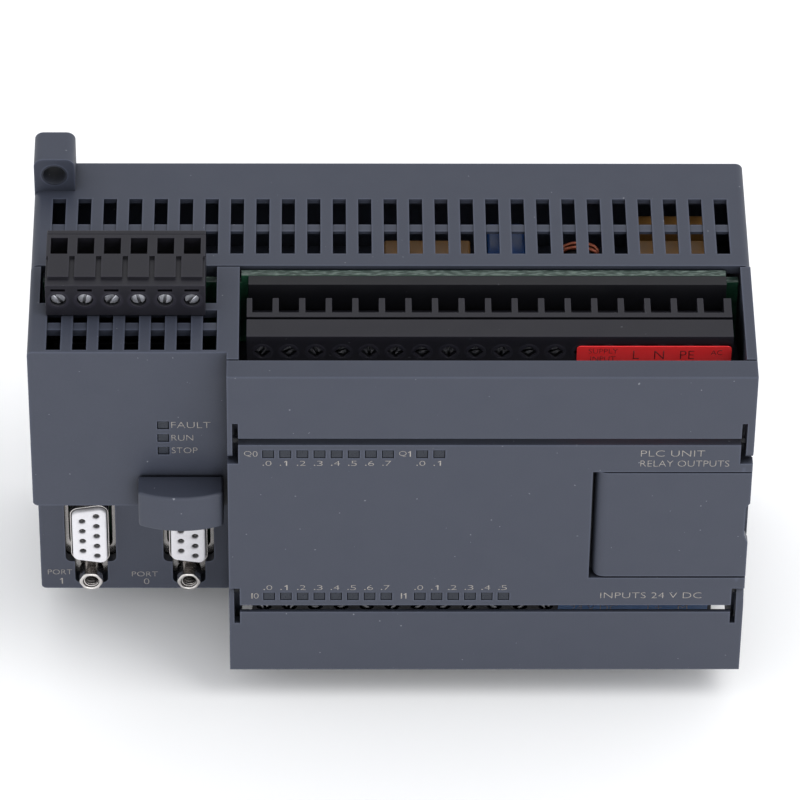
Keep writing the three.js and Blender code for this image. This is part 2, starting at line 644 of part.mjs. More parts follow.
function portInsert(x) {
  const body = prismY(dOutline(x, PORT_Z, 3.4, 7.65), -34.7, FLANGE_FRONT + 4);
  const holes = [];
  for (let i = 0; i < 9; i += 1) {
    const fiveRow = i < 5;
    const row = fiveRow ? i - 2 : i - 5 - 1.5;
    const u = x + (fiveRow ? 1.42 : -1.42);
    holes.push(prismY(disc(u, PORT_Z + row * PIN_STEP, 0.6), -35.2, -31, 2));
  }
  return body.subtract(join(holes));
}

function portJack(x, side) {
  const z = PORT_Z + side * JACK_SPACING;
  const nut = prismY(hexagon(x, z, 4.75), -35, FLANGE_FRONT - 0.05);
  const thread = prismY(disc(x, z, 1), FLANGE_FRONT - 1, FLANGE_FRONT + 3, 2);
  const bore = prismY(disc(x, z, 1.3), -35.5, -31.6, 3);
  return nut.add(thread).subtract(bore);
}

// ---------------------------------------------------------------- light pipes
function statusLightPipe() {
  const half = [LAMP_WIDTH / 2, LAMP_HEIGHT / 2];
  const x = [STATUS_LAMP_X - half[0], STATUS_LAMP_X + half[0]];
  const lenses = STATUS_LAMP_Z.map((z) =>
    block(x, [BAY_FRONT + LENS_RECESS, BAY_FRONT + 3], [z - half[1], z + half[1]]));
  const bar = block([x[0] - 0.4, x[1] + 0.4], [-45.6, -41], [12.4, 22.2]);
  return join([bar, ...lenses]);
}

function lightPipeBar(indices, z, last) {
  const x = [LAMP_FIRST - 1.4, LAMP_FIRST + last * LAMP_PITCH + 1.4];
  const bar = block(x, [FRONT + WALL + GAP, LOGIC_FRONT - 1.6], [z - 1.1, z + 1.1]);
  return bar.add(lampRow(indices, z, [FRONT + LENS_RECESS, FRONT + WALL + 1], 0));
}

// ---------------------------------------------------------------- controls
const SWITCH = { x: [45.4, 50], z: [-1, 11] };
const ON_BOARD = LOGIC_FRONT - GAP;

function modeSwitchBody() {
  const body = block(SWITCH.x, [-49.6, ON_BOARD], SWITCH.z);
  return body.subtract(block([46.6, 48.8], [-50, -48], [0.4, 9.6]));
}

function modeSwitchLever() {
  return block([46.9, 48.5], [-52.4, -48.3], [3.9, 6.1]);
}

const TRIMMER = { x: 54.6, z: [8, -0.4], half: 3 };

function trimmerBody(z) {
  const body = block([TRIMMER.x - TRIMMER.half, TRIMMER.x + TRIMMER.half], [-49, ON_BOARD],
    [z - TRIMMER.half, z + TRIMMER.half]);
  return body.subtract(prismY(disc(TRIMMER.x, z, 2.1), -49.5, -47.2, 4));
}

function trimmerRotor(z) {
  const disk = prismY(disc(TRIMMER.x, z, 1.8), -49.4, -47.5, 4);
  return disk.subtract(block([TRIMMER.x - 1.4, TRIMMER.x + 1.4], [-50, -48.6], [z - 0.3, z + 0.3]));
}

function expansionConnector() {
  const body = block([59.4, 65], [-51, ON_BOARD], [-11, 11]);
  return body.subtract(block([60.5, 63.9], [-51.5, -46], [-10, 10]));
}

// ---------------------------------------------------------------- large components
const BEHIND_BOARD = POWER_FRONT + BOARD + GAP;

function mainsTransformer() {
  const coreHalf = [13, 13];
  const core = block([-coreHalf[0], coreHalf[0]], [-18, -12], [-7 - coreHalf[1], -7 + coreHalf[1]]);
  const bobbin = block([-9, 9], [BEHIND_BOARD, -5], [-15.5, 1.5]);
  return core.add(bobbin).add(block([-12, 12], [BEHIND_BOARD, -17], [-18, 4]));
}

const CHOKE = { x: [33.3, 41.5], y: -11.5, z: 26.5, radius: 7.2, bore: 3 };

function filterChoke() {
  const ring = prismX(disc(CHOKE.y, CHOKE.z, CHOKE.radius), ...CHOKE.x, 6);
  const bore = prismX(disc(CHOKE.y, CHOKE.z, CHOKE.bore), CHOKE.x[0] - OVER, CHOKE.x[1] + OVER, 4);
  return ring.subtract(bore);
}

// Epoxy-dipped capacitor that stands on the power board.
function dippedCapacitor() {
  return prismX(roundedRectangle([BEHIND_BOARD, -5], [22, 36], 2.5), 19, 26.5, 2);
}

function boxComponent(x, depth, z) {
  return block(x, [BEHIND_BOARD, BEHIND_BOARD + depth], z);
}

function standingCapacitor(x, z, radius, depth) {
  return prismY(disc(x, z, radius), BEHIND_BOARD, BEHIND_BOARD + depth, 5);
}

// ---------------------------------------------------------------- assembly
node("rear_housing", rearHousing(), SLATE);
node("front_frame", frontFrame(), SLATE);
node("centre_panel", centrePanel(), SLATE);
node("upper_terminal_door", terminalDoor(1, UPPER_HINGE_Z, UPPER_EAR_RADIUS, 23.8, 27.7), SLATE);
node("lower_terminal_door", terminalDoor(-1, LOWER_HINGE_Z, LOWER_EAR_RADIUS, -23.65, -26.8), SLATE);
node("access_cover", accessCover(), SLATE);
node("memory_cartridge", memoryCartridge(), SLATE);
node("cartridge_socket", cartridgeSocket(), BLACK_PLASTIC);
node("din_clip", dinClip(), BLACK_PLASTIC);
node("power_board", powerBoard(), BOARD_GREEN);
node("logic_board", logicBoard(), BOARD_GREEN);

node("upper_terminal_header", terminalHeader(1), BLACK_PLASTIC);
node("lower_terminal_header", terminalHeader(-1), BLACK_PLASTIC);
node("upper_terminal_block", terminalBlock(1), DARK_PLASTIC);
node("lower_terminal_block", terminalBlock(-1), DARK_PLASTIC);
node("upper_terminal_label", terminalLabel([35.7, 65.6], 1), RED);
node("lower_terminal_label", terminalLabel([34, 64], -1), BLUE);
node("analog_header", analogHeader(), BLACK_PLASTIC);
node("analog_plug", analogPlug(), DARK_PLASTIC);
for (let i = 0; i < PLUG_WAYS; i += 1) {
  node(`analog_plug_screw_${i + 1}`, analogPlugScrew(i), NICKEL);
}

PORT_X.forEach((x, i) => {
  node(`port_${i}_shell`, portShell(x), NICKEL);
  node(`port_${i}_insert`, portInsert(x), WHITE_PLASTIC);
  node(`port_${i}_jack_upper`, portJack(x, 1), NICKEL);
  node(`port_${i}_jack_lower`, portJack(x, -1), NICKEL);
});

node("status_light_pipe", statusLightPipe(), CLEAR);
node("output_light_pipe", lightPipeBar(OUTPUT_LAMPS, OUTPUT_LAMP_Z, 10), CLEAR);
node("input_light_pipe", lightPipeBar(INPUT_LAMPS, INPUT_LAMP_Z, 14), CLEAR);

node("mode_switch_body", modeSwitchBody(), BLACK_PLASTIC);
node("mode_switch_lever", modeSwitchLever(), WHITE_PLASTIC);
TRIMMER.z.forEach((z, i) => {
  node(`trimmer_${i + 1}_body`, trimmerBody(z), BLUE);
  node(`trimmer_${i + 1}_rotor`, trimmerRotor(z), WHITE_PLASTIC);
});
node("expansion_connector", expansionConnector(), BLACK_PLASTIC);

node("mains_transformer", mainsTransformer(), BROWN);
node("filter_choke", filterChoke(), COPPER);
node("film_capacitor", boxComponent([48.4, 62.2], 14.5, [20, 34]), BROWN);
node("safety_capacitor", block([48.4, 62.2], [-5.6, -WALL - GAP], [23, 34.6]), BROWN);
[-46, -29, -12].forEach((x, i) => {
  node(`relay_${i + 1}`, boxComponent([x - 7, x + 7], 15.5, [-36, -22]), BLUE);
});
node("pulse_transformer", boxComponent([-1.2, 15.8], 14.5, [20, 34]), BROWN);
node("dipped_capacitor", dippedCapacitor(), BLUE);
node("bulk_capacitor_1", standingCapacitor(38, -6, 9, 19), ALUMINIUM);
node("bulk_capacitor_2", standingCapacitor(57, -6, 8, 18), ALUMINIUM);
node("backup_capacitor", prismY(disc(-14, 4, 6), ON_BOARD - 5, ON_BOARD, 5), BLUE);
node("processor_chip", block([2, 22], [ON_BOARD - 2.2, ON_BOARD], [-8, 12]), BLACK_PLASTIC);

export default module;
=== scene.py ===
"""Looks of the compact programmable controller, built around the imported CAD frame.

Metres, row frame: X right, Y towards the rail, Z up. Sizes in millimetres are turned into
metres with mm().
"""
import json
import math
import random

import bmesh
import bpy
from mathutils import Matrix, Vector


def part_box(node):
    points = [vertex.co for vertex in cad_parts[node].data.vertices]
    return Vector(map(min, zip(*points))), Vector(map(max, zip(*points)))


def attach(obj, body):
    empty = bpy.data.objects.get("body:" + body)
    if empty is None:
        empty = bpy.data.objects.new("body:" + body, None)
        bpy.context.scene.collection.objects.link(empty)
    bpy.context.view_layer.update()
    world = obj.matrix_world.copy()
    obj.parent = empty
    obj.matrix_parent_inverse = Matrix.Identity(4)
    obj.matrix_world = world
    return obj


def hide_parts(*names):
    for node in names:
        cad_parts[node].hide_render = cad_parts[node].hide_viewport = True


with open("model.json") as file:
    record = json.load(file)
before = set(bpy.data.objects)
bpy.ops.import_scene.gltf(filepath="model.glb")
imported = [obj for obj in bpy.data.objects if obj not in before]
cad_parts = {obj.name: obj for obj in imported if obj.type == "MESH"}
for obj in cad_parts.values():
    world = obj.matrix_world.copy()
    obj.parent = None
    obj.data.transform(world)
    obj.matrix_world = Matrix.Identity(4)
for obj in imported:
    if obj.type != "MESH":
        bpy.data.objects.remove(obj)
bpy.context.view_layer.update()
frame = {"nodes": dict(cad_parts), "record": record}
NODES = frame["nodes"]
random.seed(7)

MM = 0.001


def mm(*values):
    return Vector([value * MM for value in values])


def box_mm(node):
    """Lowest and highest corner of a CAD node in millimetres."""
    low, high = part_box(node)
    return low / MM, high / MM


# ---------------------------------------------------------------- camera, light and floor
CAMERA_PLACE = (-14.96, -904.2, 836.9)
CAMERA_PITCH = 43.386
CAMERA_YAW = 1.111
CAMERA_ROLL = -0.78
CAMERA_LENS = 274.7
SENSOR_WIDTH = 36
SKY_COLOUR = (0.97, 0.98, 1.0, 1)
SKY_STRENGTH = 1.05
# Place and size in metres, power in watts. Each light aims at the middle of the object.
LIGHTS = {
    "key_light": ((0.8, -0.4, 1.3), (0.7, 0.7), 7),
    "front_light": ((0.2, -1.3, 0.2), (0.9, 0.5), 4),
}
FLOOR_Z = -48.4
FLOOR_REACH = 3.0  # metres each way from the middle
FLOOR_COLOUR = (0.98, 0.98, 0.98, 1)
FLOOR_ROUGHNESS = 0.9


def add_object(name, data):
    """New object that holds some data, linked to the scene."""
    item = bpy.data.objects.new(name, data)
    bpy.context.scene.collection.objects.link(item)
    return item


def add_camera():
    pitch, yaw, roll = (math.radians(a) for a in (CAMERA_PITCH, CAMERA_YAW, CAMERA_ROLL))
    forward = Vector((
        math.sin(yaw) * math.cos(pitch),
        math.cos(yaw) * math.cos(pitch),
        -math.sin(pitch),
    ))
    level = forward.cross(Vector((0, 0, 1))).normalized()
    down = forward.cross(level)
    right = math.cos(roll) * level + math.sin(roll) * down
    up = -(math.cos(roll) * down - math.sin(roll) * level)
    data = bpy.data.cameras.new("camera")
    data.lens = CAMERA_LENS
    data.sensor_width = SENSOR_WIDTH
    camera = add_object("camera", data)
    turn = Matrix((right, up, -forward)).transposed().to_4x4()
    camera.matrix_world = Matrix.Translation(mm(*CAMERA_PLACE)) @ turn
    bpy.context.scene.camera = camera


def add_area_light(name, place, size, power):
    data = bpy.data.lights.new(name, "AREA")
    data.shape = "RECTANGLE"
    data.size = size[0]
    data.size_y = size[1]
    data.energy = power
    light = add_object(name, data)
    turn = (-Vector(place)).to_track_quat("-Z", "Y").to_matrix().to_4x4()
    light.matrix_world = Matrix.Translation(Vector(place)) @ turn


def add_studio():
    """Light tent: pale even surroundings, a weak key from above right and a low front fill."""
    world = bpy.data.worlds.new("studio")
    world.use_nodes = True
    background = world.node_tree.nodes["Background"]
    background.inputs["Color"].default_value = SKY_COLOUR
    background.inputs["Strength"].default_value = SKY_STRENGTH
    bpy.context.scene.world = world
    bpy.context.scene.view_settings.view_transform = "Standard"
    for name, (place, size, power) in LIGHTS.items():
        add_area_light(name, place, size, power)


def add_floor():
    mesh = bpy.data.meshes.new("floor")
    level = FLOOR_Z * MM
    corners = [(x, y, level) for x, y in ((-1, -1), (1, -1), (1, 1), (-1, 1))]
    mesh.from_pydata(corners, [], [(0, 1, 2, 3)])
    mesh.transform(Matrix.Diagonal((FLOOR_REACH, FLOOR_REACH, 1, 1)))
    floor = add_object("floor", mesh)
    material = bpy.data.materials.new("floor_paint")
    material.use_nodes = True
    shader = material.node_tree.nodes["Principled BSDF"]
    shader.inputs["Base Color"].default_value = FLOOR_COLOUR
    shader.inputs["Roughness"].default_value = FLOOR_ROUGHNESS
    mesh.materials.append(material)


# ---------------------------------------------------------------- material helpers
SHADE_SAMPLES = 6
EDGE_MASK = (0.9, 0.55)  # openness where the mask begins and where it is full
# Openness range of the painted shade in hollows, where it begins and where it is full.
CAVITY_SHADE_MASK = (0.7, 0.3)
MIX_COLOURS = (6, 7)  # input sockets of a colour mix
MIX_RESULT = 2  # its output socket


class Material:
    """A material with short calls for the procedural nodes used here."""

    def __init__(self, name, roughness, metallic=0.0):
        self.data = bpy.data.materials.new(name)
        self.data.use_nodes = True
        self.tree = self.data.node_tree
        self.shader = self.tree.nodes["Principled BSDF"]
        self.shader.inputs["Roughness"].default_value = roughness
        self.shader.inputs["Metallic"].default_value = metallic
        self.place = self.tree.nodes.new("ShaderNodeTexCoord").outputs["Object"]

    def link(self, source, socket):
        self.tree.links.new(source, socket)

    def scaled_place(self, stretch):
        node = self.tree.nodes.new("ShaderNodeMapping")
        node.inputs["Scale"].default_value = stretch
        self.link(self.place, node.inputs["Vector"])
        return node.outputs["Vector"]

    def noise(self, scale, detail=3, stretch=None):
        """Cloudy value from 0 to 1; scale is in features per metre."""
        node = self.tree.nodes.new("ShaderNodeTexNoise")
        node.inputs["Scale"].default_value = scale
        node.inputs["Detail"].default_value = detail
        place = self.scaled_place(stretch) if stretch else self.place
        self.link(place, node.inputs["Vector"])
        return node.outputs["Fac"]

    def spread(self, value, low, high, to_low=0.0, to_high=1.0):
        node = self.tree.nodes.new("ShaderNodeMapRange")
        node.inputs["From Min"].default_value = low
        node.inputs["From Max"].default_value = high
        node.inputs["To Min"].default_value = to_low
        node.inputs["To Max"].default_value = to_high
        self.link(value, node.inputs["Value"])
        return node.outputs["Result"]

    def maths(self, operation, first, second):
        node = self.tree.nodes.new("ShaderNodeMath")
        node.operation = operation
        for socket, value in zip(node.inputs, (first, second)):
            if isinstance(value, (int, float)):
                socket.default_value = value
            else:
                self.link(value, socket)
        return node.outputs["Value"]

    def mix(self, factor, first, second):
        """Colour mix; each colour is an (r, g, b) or another node's output."""
        node = self.tree.nodes.new("ShaderNodeMix")
        node.data_type = "RGBA"
        self.link(factor, node.inputs["Factor"])
        for socket, value in zip((node.inputs[index] for index in MIX_COLOURS), (first, second)):
            if isinstance(value, tuple):
                socket.default_value = (*value, 1)
            else:
                self.link(value, socket)
        return node.outputs[MIX_RESULT]

    def openness(self, reach, inside):
        """1 where nothing is near; lower in hollows, or with inside=True along outer edges."""
        node = self.tree.nodes.new("ShaderNodeAmbientOcclusion")
        node.samples = SHADE_SAMPLES
        node.inside = inside
        node.inputs["Distance"].default_value = reach * MM
        return node.outputs["AO"]

    def edges(self, reach=0.45):
        """Mask that is 1 on outer edges, for edge wear and painted edge highlights."""
        return self.spread(self.openness(reach, True), *EDGE_MASK)

    def cavities(self, reach=4.0):
        """Mask that is 1 deep inside slots, holes and gaps; it places painted shade there."""
        return self.spread(self.openness(reach, False), *CAVITY_SHADE_MASK)

    def facing(self, axis):
        """How squarely the surface faces along an axis of the object, from 0 to 1."""
        normal = self.tree.nodes.new("ShaderNodeNewGeometry").outputs["Normal"]
        split = self.tree.nodes.new("ShaderNodeSeparateXYZ")
        self.link(normal, split.inputs["Vector"])
        return self.maths("ABSOLUTE", split.outputs[axis], 0.0)

    def colour(self, value):
        self.link(value, self.shader.inputs["Base Color"])

    def roughness(self, value):
        self.link(value, self.shader.inputs["Roughness"])

    def bump(self, height, distance, strength=1.0):
        node = self.tree.nodes.new("ShaderNodeBump")
        node.inputs["Distance"].default_value = distance
        node.inputs["Strength"].default_value = strength
        self.link(height, node.inputs["Height"])
        self.link(node.outputs["Normal"], self.shader.inputs["Normal"])


def shade(colour, factor):
    return tuple(min(1.0, channel * factor) for channel in colour)


# Noise scales are in features per metre, bump depths in metres.
CLOUD_SCALE = 40
SPECKLE_SCALE = 3200
DUST_SCALE = 1050
GLOSS_SCALE = 160
DUST_COLOUR = (0.30, 0.31, 0.34)
GRAIN_DEPTH = 0.00003
METAL_CAVITY_SHADE_REACH = 3.5  # millimetres
STAIN_SCALE = 500
RUB_SCALE = 6000
RUB_DEPTH = 0.000005


def moulded_plastic(name, colour, roughness, wear=1.7, grain=2600, specks=1.0, gloss=0.35):
    """Injection-moulded plastic: faint clouding, fine grain, paler edges (edge wear and painted
    highlight), dust, painted shade in hollows.
    """
    material = Material(name, roughness)
    material.shader.inputs["Specular IOR Level"].default_value = gloss
    clouds = material.mix(material.noise(CLOUD_SCALE, 4), shade(colour, 0.97), shade(colour, 1.03))
    speckle = material.spread(material.noise(SPECKLE_SCALE, 2), 0.35, 0.65)
    speckled = material.mix(speckle, clouds, shade(colour, 1.06))
    # Paler edges, by the factor wear: partly edge wear, partly painted highlight along the edges.
    worn_and_highlit = material.mix(material.edges(), speckled, shade(colour, wear))
    dust = material.spread(material.noise(DUST_SCALE, 1), 0.79, 0.805, 0.0, 0.5 * specks)
    dusty = material.mix(dust, worn_and_highlit, DUST_COLOUR)
    # Painted shade: the colour falls to a quarter of itself deep in hollows.
    material.colour(material.mix(material.cavities(), dusty, shade(colour, 0.25)))
    dull = (roughness - 0.05, roughness + 0.06)
    material.roughness(material.spread(material.noise(GLOSS_SCALE, 3), 0.3, 0.7, *dull))
    material.bump(material.noise(grain, 2), GRAIN_DEPTH, 0.35)
    return material.data


def plated_metal(name, colour, roughness, metallic=1.0):
    """Plated or bare metal with fine rubbing marks, darker stains and painted shade in recesses."""
    material = Material(name, roughness, metallic)
    stains = material.spread(material.noise(STAIN_SCALE, 4), 0.35, 0.7)
    stained = material.mix(stains, shade(colour, 0.86), colour)
    # Painted shade: the colour falls to three tenths of itself deep in recesses.
    material.colour(material.mix(material.cavities(METAL_CAVITY_SHADE_REACH), stained, shade(colour, 0.3)))
    marks = material.noise(RUB_SCALE, 3)
    material.roughness(material.spread(marks, 0.3, 0.7, roughness - 0.06, roughness + 0.08))
    material.bump(marks, RUB_DEPTH, 0.4)
    return material.data


def circuit_laminate():
    """Green solder mask on the faces, pale glass fibre along the cut edges."""
    material = Material("board_laminate", 0.35)
    traces = material.spread(material.noise(420, 1, (1, 1, 0.2)), 0.49, 0.51)
    mask = material.mix(traces, (0.008, 0.050, 0.026), (0.013, 0.070, 0.036))
    fibre = material.spread(material.noise(2600, 3, (0.22, 1, 1)), 0.44, 0.68)
    cut = material.mix(fibre, (0.014, 0.030, 0.023), (0.12, 0.16, 0.14))
    face = material.spread(material.facing("Y"), 0.5, 0.6)
    material.colour(material.mix(face, cut, mask))
    material.bump(fibre, 0.00006, 0.5)
    return material.data


def smoked_lens():
    """Unlit lamp window: smoky, slightly glossy, with a soft inner clouding."""
    material = Material("smoked_lens", 0.3)
    material.shader.inputs["Specular IOR Level"].default_value = 0.3
    clouds = material.noise(900, 3)
    material.colour(material.mix(clouds, (0.010, 0.0125, 0.019), (0.024, 0.029, 0.041)))
    material.roughness(material.spread(material.noise(1500, 2), 0.3, 0.7, 0.24, 0.38))
    material.bump(clouds, 0.00004, 0.3)
    return material.data


def printed_film(name, colour):
    """Thin printed label with a faint unevenness."""
    material = Material(name, 0.4)
    clouds = material.noise(120, 4)
    base = material.mix(clouds, shade(colour, 0.88), shade(colour, 1.1))
    # Paler rims along the label's edges: painted edge highlight.
    material.colour(material.mix(material.edges(), base, shade(colour, 1.6)))
    material.roughness(material.spread(material.noise(500, 3), 0.3, 0.7, 0.34, 0.5))
    material.bump(material.noise(400, 2), 0.00005, 0.3)
    return material.data


def print_ink(name, colour):
    """Pad-printed ink, slightly patchy."""
    material = Material(name, 0.6)
    wear = material.spread(material.noise(2600, 3), 0.3, 0.6)
    material.colour(material.mix(wear, shade(colour, 0.6), colour))
    material.bump(material.noise(3000, 2), 0.00002, 0.3)
    return material.data


def wound_tape(name, colour):
    """Lacquered tape or resin on a component, with light streaks."""
    material = Material(name, 0.42)
    streaks = material.noise(260, 4, (0.3, 1, 2.5))
    material.colour(material.mix(streaks, shade(colour, 0.7), shade(colour, 1.3)))
    material.roughness(material.spread(streaks, 0.3, 0.7, 0.32, 0.5))
    material.bump(streaks, 0.00008, 0.5)
    return material.data


SLATE = (0.0385, 0.0440, 0.0635)
LOOKS = {
    "case_plastic": moulded_plastic("case_plastic", SLATE, 0.5),
    "dark_plastic": moulded_plastic("dark_plastic", (0.0105, 0.0100, 0.0145), 0.45, specks=0.3, gloss=0.3),
    "black_plastic": moulded_plastic("black_plastic", (0.006, 0.006, 0.008), 0.45, specks=0.2, gloss=0.3),
    "white_plastic": moulded_plastic("white_plastic", (0.72, 0.71, 0.74), 0.38, wear=1.05, specks=0),
    "blue_plastic": moulded_plastic("blue_plastic", (0.007, 0.040, 0.15), 0.3, specks=0.2),
    "clear_plastic": smoked_lens(),
    "board_laminate": circuit_laminate(),
    "red_label": printed_film("red_label", (0.64, 0.020, 0.022)),
    "blue_label": printed_film("blue_label", (0.03, 0.10, 0.26)),
    "brown_parts": wound_tape("brown_parts", (0.20, 0.10, 0.028)),
    "nickel": plated_metal("nickel", (0.72, 0.69, 0.67), 0.2),
    "copper_wire": plated_metal("copper_wire", (0.62, 0.18, 0.10), 0.3, metallic=0.45),
    "capacitor_can": plated_metal("capacitor_can", (0.50, 0.52, 0.55), 0.3),
}
# Darker copy of the case plastic: painted shade, for the lining of the tab holes.
PAINTED_SHADE_PLASTIC = moulded_plastic("painted_shade_plastic", shade(SLATE, 0.35), 0.6)
# Darker copy of the zinc plating: painted shade for screws and cages sunk in the 18-way blocks.
PAINTED_SHADE_ZINC = plated_metal("painted_shade_zinc", (0.22, 0.22, 0.235), 0.3)
BRIGHT_ZINC = plated_metal("bright_zinc", (0.80, 0.81, 0.86), 0.38)
LEGEND = print_ink("legend_ink", (0.33, 0.305, 0.28))
LABEL_INK = print_ink("label_ink", (0.045, 0.008, 0.010))


# ---------------------------------------------------------------- finish of the CAD nodes
# Width of the rounded edges in millimetres.
EDGE = {
    "rear_housing": 0.3, "front_frame": 0.3, "centre_panel": 0.25, "upper_terminal_door": 0.35,
    "lower_terminal_door": 0.35, "access_cover": 0.2, "memory_cartridge": 0.55, "din_clip": 0.3,
    "upper_terminal_block": 0.12, "lower_terminal_block": 0.12, "analog_plug": 0.18,
    "dipped_capacitor": 0.6, "pulse_transformer": 0.5, "film_capacitor": 0.5, "safety_capacitor": 0.5,
}
DEFAULT_EDGE = 0.1
WELD_REACH = 0.000001  # metres
FLAT_ANGLE = math.radians(1)
EDGE_ANGLE = math.radians(35)
PIECE_EDGE_ANGLE = math.radians(30)


def finish_node(name, node):
    slot = next(part["material_slot"] for part in frame["record"]["subparts"] if part["node"] == name)
    for held in node.material_slots:
        held.material = LOOKS[slot]
    weld = node.modifiers.new("weld", "WELD")
    weld.merge_threshold = WELD_REACH
    flatten = node.modifiers.new("flatten", "DECIMATE")
    flatten.decimate_type = "DISSOLVE"
    flatten.angle_limit = FLAT_ANGLE
    bevel = node.modifiers.new("bevel", "BEVEL")
    bevel.width = EDGE.get(name, DEFAULT_EDGE) * MM
    bevel.segments = 3
    bevel.limit_method = "ANGLE"
    bevel.angle_limit = EDGE_ANGLE
    settle = node.modifiers.new("settle", "WEIGHTED_NORMAL")
    settle.weight = 100
    for polygon in node.data.polygons:
        polygon.use_smooth = True


# ---------------------------------------------------------------- outlines in (x, z)
def ring_points(x, z, radius, count=20):
    turns = [math.tau * step / count for step in range(count)]
    return [(x + radius * math.cos(turn), z + radius * math.sin(turn)) for turn in turns]


def fillet(corners, radius, steps=5):
    """Closed outline of a convex polygon with each corner rounded."""
    points = []
    for index, corner in enumerate(corners):
        here = Vector(corner)
        back = (Vector(corners[index - 1]) - here).normalized()
        ahead = (Vector(corners[(index + 1) % len(corners)]) - here).normalized()
        half = back.angle(ahead) / 2
        centre = here + (back + ahead).normalized() * radius / math.sin(half)
        start = here + back * radius / math.tan(half) - centre
        end = here + ahead * radius / math.tan(half) - centre
        for step in range(steps + 1):
            share = step / steps
            spoke = start.lerp(end, share).normalized() * radius
            points.append(tuple(centre + spoke))
    return points


def half_moon(x, z, radius, slot, turn):
    """One side of a round head that is split by a slot."""
    lift = math.asin(slot / radius)
    steps = 12
    angles = [turn + lift + (math.pi - 2 * lift) * step / steps for step in range(steps + 1)]
    return [(x + radius * math.cos(a), z + radius * math.sin(a)) for a in angles]


def curve_mesh(curve):
    """Mesh of a curve or text, in the curve's own units."""
    holder = add_object("curve", curve)
    bpy.context.view_layer.update()
    shown = holder.evaluated_get(bpy.context.evaluated_depsgraph_get())
    flat = bpy.data.meshes.new_from_object(shown)
    bpy.data.objects.remove(holder)
    bpy.data.curves.remove(curve)
    return flat


# ---------------------------------------------------------------- mesh building
class Builder:
    """Collects the solids of one piece; sizes in millimetres."""

    def __init__(self):
        self.mesh = bmesh.new()

    def place(self, made, matrix):
        bmesh.ops.transform(self.mesh, matrix=matrix, verts=made["verts"])

    def box(self, low, high):
        low, high = Vector(low), Vector(high)
        made = bmesh.ops.create_cube(self.mesh, size=1)
        scale = Matrix.Diagonal((*(high - low), 1))
        self.place(made, Matrix.Translation((low + high) / 2) @ scale)

    def rod(self, start, end, radius, sides=24):
        start, end = Vector(start), Vector(end)
        along = end - start
        made = bmesh.ops.create_cone(
            self.mesh, cap_ends=True, segments=sides, radius1=radius, radius2=radius,
            depth=along.length)
        turn = along.to_track_quat("Z", "Y").to_matrix().to_4x4()
        self.place(made, Matrix.Translation((start + end) / 2) @ turn)

    def take(self, data):
        self.mesh.from_mesh(data)
        bpy.data.meshes.remove(data)

    def plate(self, outer, holes, back, front, rounding=0.0):
        """Upright plate from depth back to depth front, with rounded rims."""
        curve = bpy.data.curves.new("plate", "CURVE")
        curve.dimensions = "2D"
        curve.fill_mode = "BOTH"
        curve.extrude = (back - front) / 2 - rounding
        curve.bevel_depth = rounding
        curve.bevel_resolution = 2
        curve.offset = -rounding
        for outline in [outer] + [hole[::-1] for hole in holes]:
            spline = curve.splines.new("POLY")
            spline.points.add(len(outline) - 1)
            for point, (x, z) in zip(spline.points, outline):
                point.co = (x, z, 0, 1)
            spline.use_cyclic_u = True
        data = curve_mesh(curve)
        stand = Matrix.Rotation(math.radians(90), 4, "X")
        data.transform(Matrix.Translation((0, (back + front) / 2, 0)) @ stand)
        self.take(data)

    def wire(self, points, radius):
        """Round wire along points."""
        curve = bpy.data.curves.new("wire", "CURVE")
        curve.dimensions = "3D"
        curve.bevel_depth = radius
        curve.bevel_resolution = 2
        curve.use_fill_caps = True
        spline = curve.splines.new("POLY")
        spline.points.add(len(points) - 1)
        for point, place in zip(spline.points, points):
            point.co = (*place, 1)
        self.take(curve_mesh(curve))

    def ring_surface(self, rings):
        """Closed surface through rings of points; the last ring joins the first."""
        rows = [[self.mesh.verts.new(point) for point in ring] for ring in rings]
        count = len(rows[0])
        for row, after in zip(rows, rows[1:] + rows[:1]):
            for side in range(count):
                ahead = (side + 1) % count
                self.mesh.faces.new((row[side], row[ahead], after[ahead], after[side]))

    def piece(self, name, body, slot, bevel=0.0, look=None):
        bmesh.ops.remove_doubles(self.mesh, verts=self.mesh.verts, dist=0.0005)
        bmesh.ops.scale(self.mesh, vec=(MM, MM, MM), verts=self.mesh.verts)
        bmesh.ops.recalc_face_normals(self.mesh, faces=self.mesh.faces)
        data = bpy.data.meshes.new(name)
        self.mesh.to_mesh(data)
        self.mesh.free()
        return add_piece(name, data, body, slot, bevel, look)


def add_piece(name, data, body, slot, bevel=0.0, look=None):
    item = add_object(name, data)
    data.materials.append(look or LOOKS[slot])
    for polygon in data.polygons:
        polygon.use_smooth = True
    if bevel:
        modifier = item.modifiers.new("bevel", "BEVEL")
        modifier.width = bevel * MM
        modifier.segments = 2
        modifier.limit_method = "ANGLE"
        modifier.angle_limit = PIECE_EDGE_ANGLE
    item.modifiers.new("settle", "WEIGHTED_NORMAL").weight = 100
    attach(item, body)
    return item


